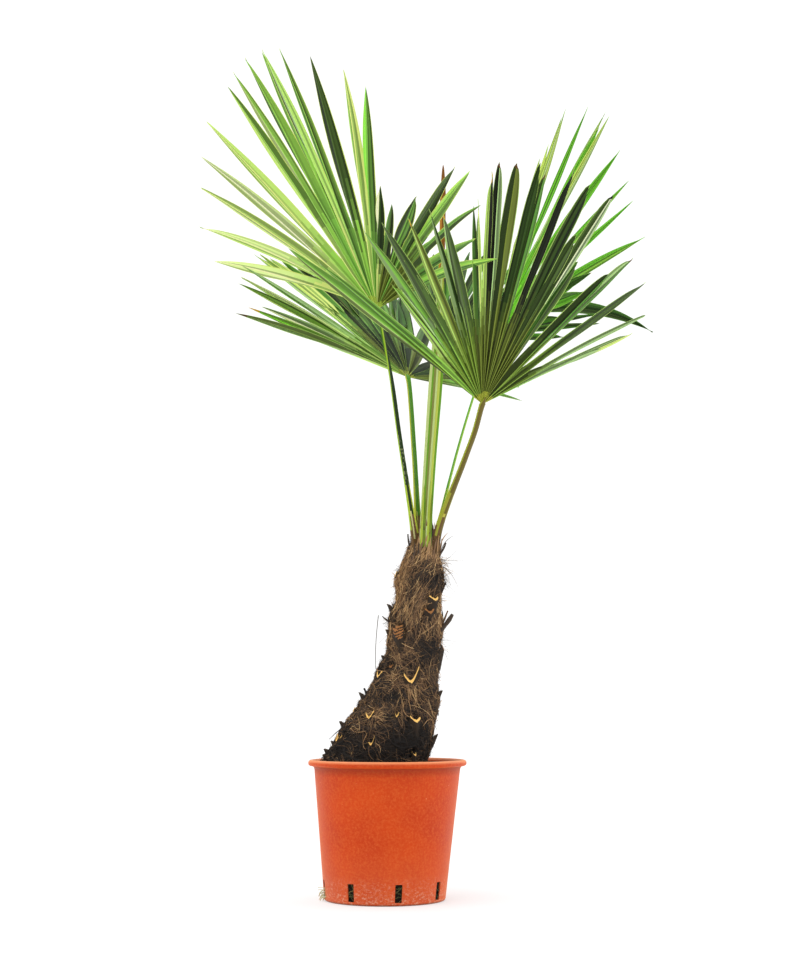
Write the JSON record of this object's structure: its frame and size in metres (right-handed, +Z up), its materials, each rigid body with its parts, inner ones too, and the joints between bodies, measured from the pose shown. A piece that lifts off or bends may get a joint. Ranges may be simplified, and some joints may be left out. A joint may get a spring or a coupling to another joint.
{
  "type": "potted windmill palm",
  "caption": "Windmill palm in a tapered nursery pot: leaning fibrous stem, fan-shaped fronds on long slender stalks and an upright unopened leaf.",
  "frame": {"origin": "centre of the pot's flat underside, which stands on the floor", "axes": "+Z up along the plant, +X to the side the pot and the crown lean to, -Y to the side the low frond reaches out to"},
  "size_m": [0.8772, 0.9554, 1.4743],
  "materials": {
    "pot_plastic": "terracotta-coloured moulded plastic, slightly dusty",
    "potting_soil": "dark crumbly compost",
    "stem_fibre": "dark brown matted fibre with cut leaf bases",
    "leaf_stalk": "smooth green stalk with paler edges",
    "frond_blade": "pleated leathery leaf, satin",
    "unopened_leaf": "folded young leaf, green with brown fibre at the tip"
  },
  "bodies": {
    "root": {"pot": "pot_plastic", "soil": "potting_soil", "trunk": "stem_fibre", "petiole_a": "leaf_stalk", "petiole_b": "leaf_stalk", "petiole_c": "leaf_stalk", "petiole_d": "leaf_stalk", "petiole_e": "leaf_stalk", "blade_a": "frond_blade", "blade_b": "frond_blade", "blade_c": "frond_blade", "blade_d": "frond_blade", "blade_e": "frond_blade", "spear_leaf": "unopened_leaf"}
  },
  "joints": []
}
